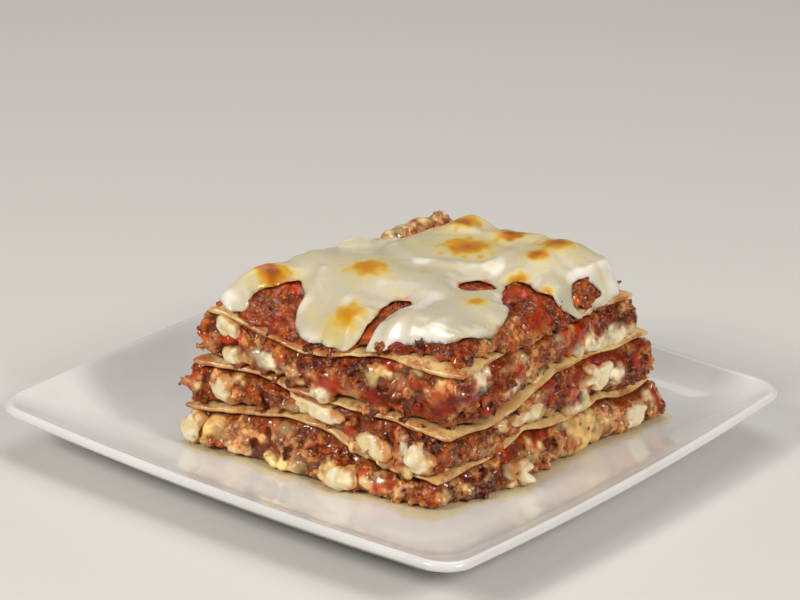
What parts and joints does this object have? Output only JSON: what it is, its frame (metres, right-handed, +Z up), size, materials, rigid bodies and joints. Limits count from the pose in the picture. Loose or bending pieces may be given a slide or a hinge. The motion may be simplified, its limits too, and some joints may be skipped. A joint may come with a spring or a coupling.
{
  "type": "lasagne slice",
  "caption": "Cut slice of layered pasta with meat sauce, ricotta and browned melted cheese, on a square white plate.",
  "frame": {"origin": "middle of the plate, on the surface that its foot stands on", "axes": "+Z up; +X and +Y along the plate's sides; the slice's long cut faces look along -Y and +X"},
  "size_m": [0.1982, 0.1982, 0.0682],
  "materials": {
    "porcelain": "glossy white glaze",
    "pasta": "moist cream-yellow boiled pasta",
    "meat_filling": "moist crumbled meat in tomato sauce with ricotta",
    "meat_sauce": "oily crumbled meat sauce",
    "ricotta": "soft cream-white cheese",
    "melted_cheese": "glossy melted cheese with browned spots"
  },
  "bodies": {
    "root": {"plate": "porcelain", "filling_1": "meat_filling", "pasta_sheet_1": "pasta", "filling_2": "meat_filling", "pasta_sheet_2": "pasta", "filling_3": "meat_filling", "pasta_sheet_3": "pasta", "top_sauce": "meat_sauce", "melted_cheese": "melted_cheese", "ricotta_01": "ricotta", "ricotta_02": "ricotta", "ricotta_03": "ricotta", "ricotta_04": "ricotta", "ricotta_05": "ricotta", "ricotta_06": "ricotta", "ricotta_07": "ricotta", "ricotta_08": "ricotta", "ricotta_09": "ricotta", "ricotta_10": "ricotta", "ricotta_11": "ricotta", "ricotta_12": "ricotta", "ricotta_13": "ricotta", "ricotta_14": "ricotta"}
  },
  "joints": []
}
